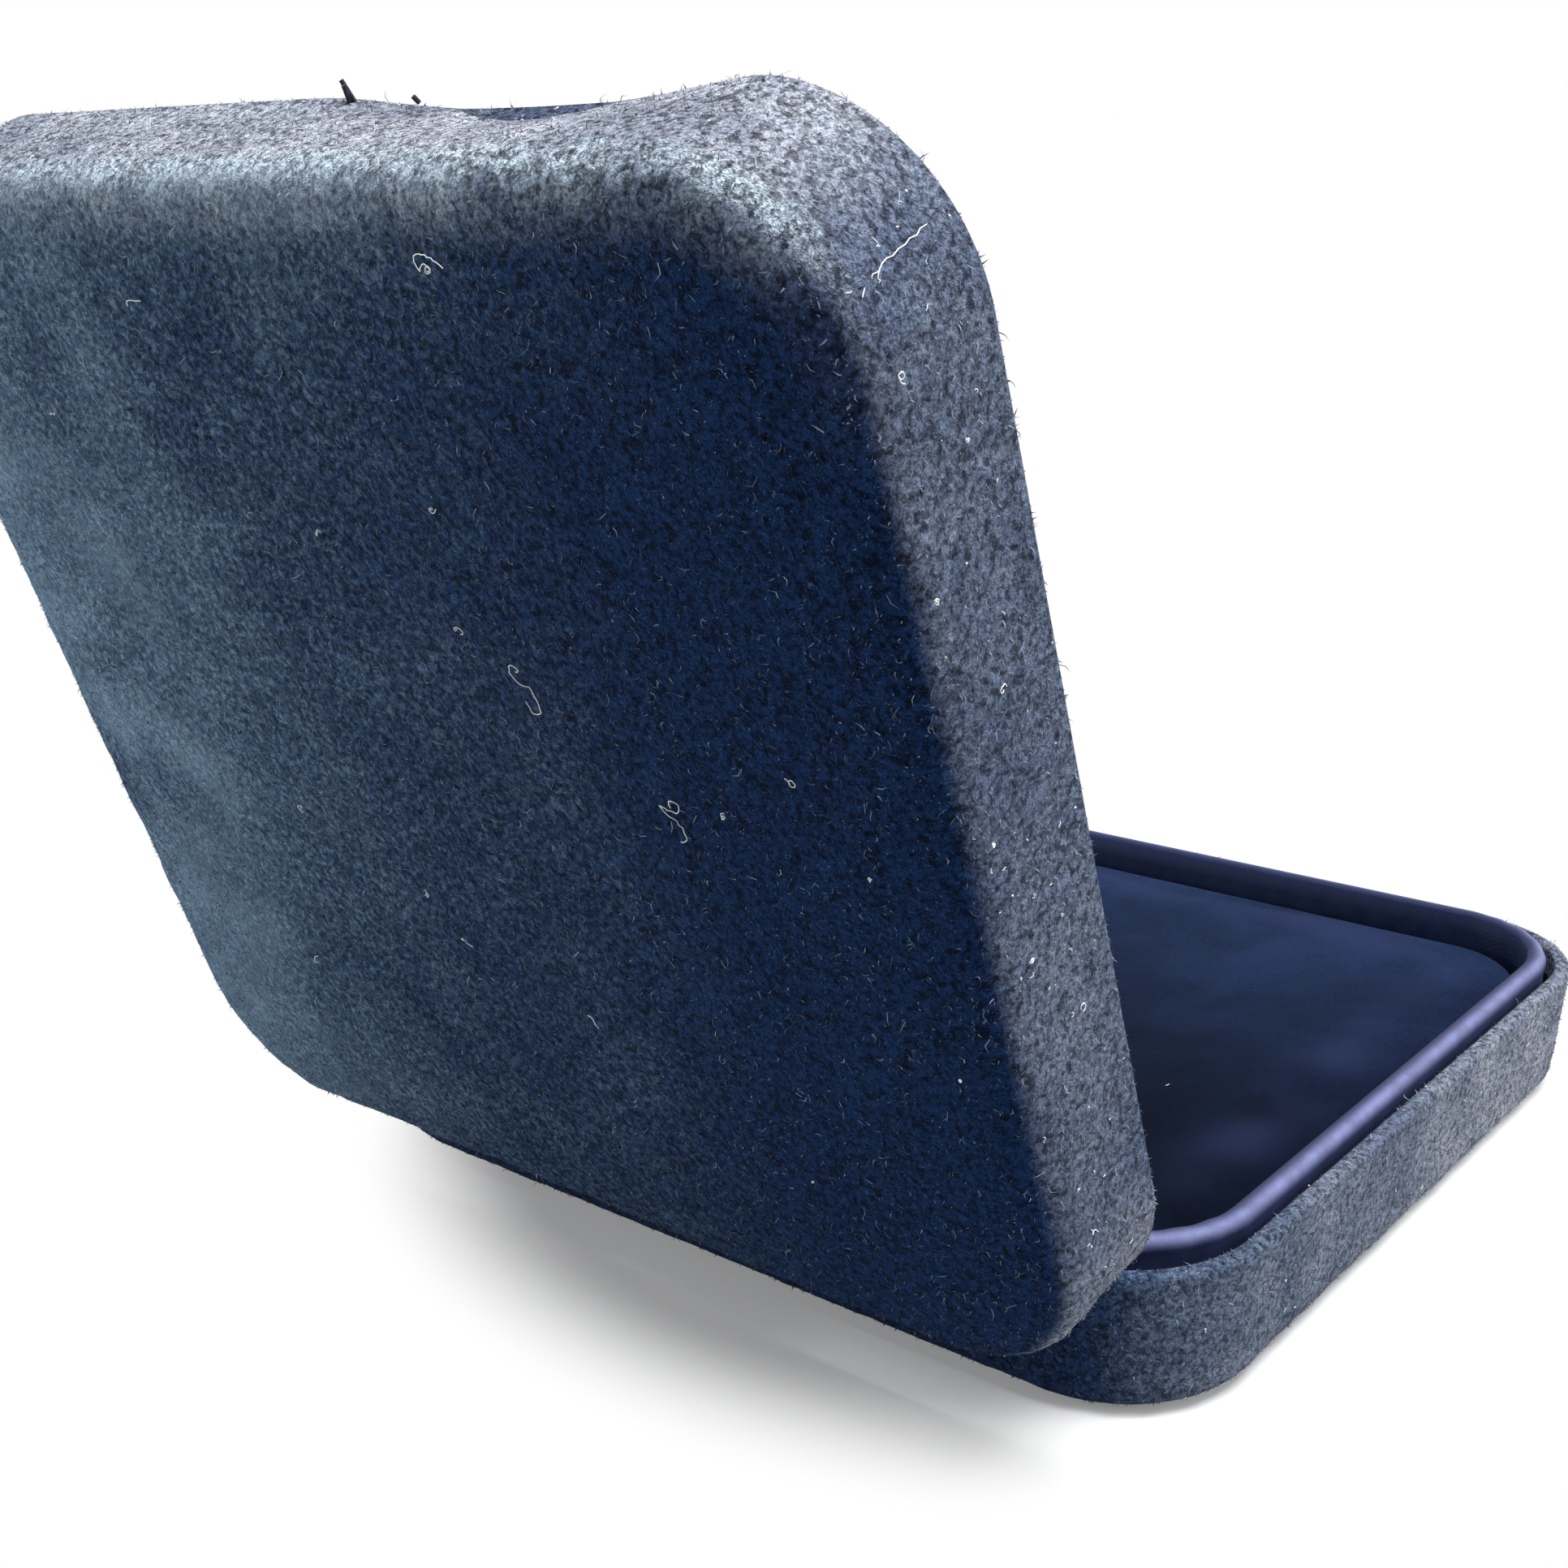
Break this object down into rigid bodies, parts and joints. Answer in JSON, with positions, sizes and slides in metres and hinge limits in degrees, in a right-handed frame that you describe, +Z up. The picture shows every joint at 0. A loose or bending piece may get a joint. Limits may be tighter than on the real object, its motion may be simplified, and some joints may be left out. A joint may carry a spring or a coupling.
{
  "type": "hinged instrument case",
  "caption": "Flat hinged case in suede over pressed steel, with a satin lip, a padded velvet bed and a satin-lined lid on a riveted snap hinge.",
  "frame": {"origin": "centre of the flat underside of the sole, on the surface the case stands on", "axes": "+Z up; X along the hinge; the hinge is at +Y and the case opens at the front, -Y; the lid is stored open"},
  "size_m": [0.102, 0.135, 0.1043],
  "materials": {
    "suede": "navy suede with a short raised nap, greyer along worn edges",
    "satin": "tight navy satin with a lavender highlight",
    "velvet": "deep navy velvet, short pile",
    "card": "plain dense card",
    "foam": "soft open wadding",
    "shell_steel": "pressed sheet steel, dark lacquer",
    "hinge_steel": "nickel-plated steel, satin",
    "spring_steel": "blued spring steel"
  },
  "bodies": {
    "base": {"base_shell": "shell_steel", "base_cover": "suede", "sole_panel": "suede", "tray_board": "card", "lip_frame": "card", "lip_cover": "satin", "bed_board": "card", "bed_foam": "foam", "bed_velvet": "velvet", "base_hinge_leaf": "hinge_steel", "base_rivets": "hinge_steel", "snap_spring": "spring_steel", "hinge_pin": "hinge_steel"},
    "lid": {"lid_shell": "shell_steel", "lid_cover": "suede", "lid_wadding": "foam", "lid_board": "card", "lid_frame": "card", "lid_frame_cover": "satin", "lid_pad_foam": "foam", "lid_pad_cover": "satin", "lid_hinge_leaf": "hinge_steel", "lid_rivets": "hinge_steel"}
  },
  "joints": [
    {"name": "lid_hinge", "type": "hinge", "parent": "base", "child": "lid", "pos_m": [0, 0.0475, 0.01395], "axis": [1, 0, 0], "range_deg": [0, 108]}
  ]
}
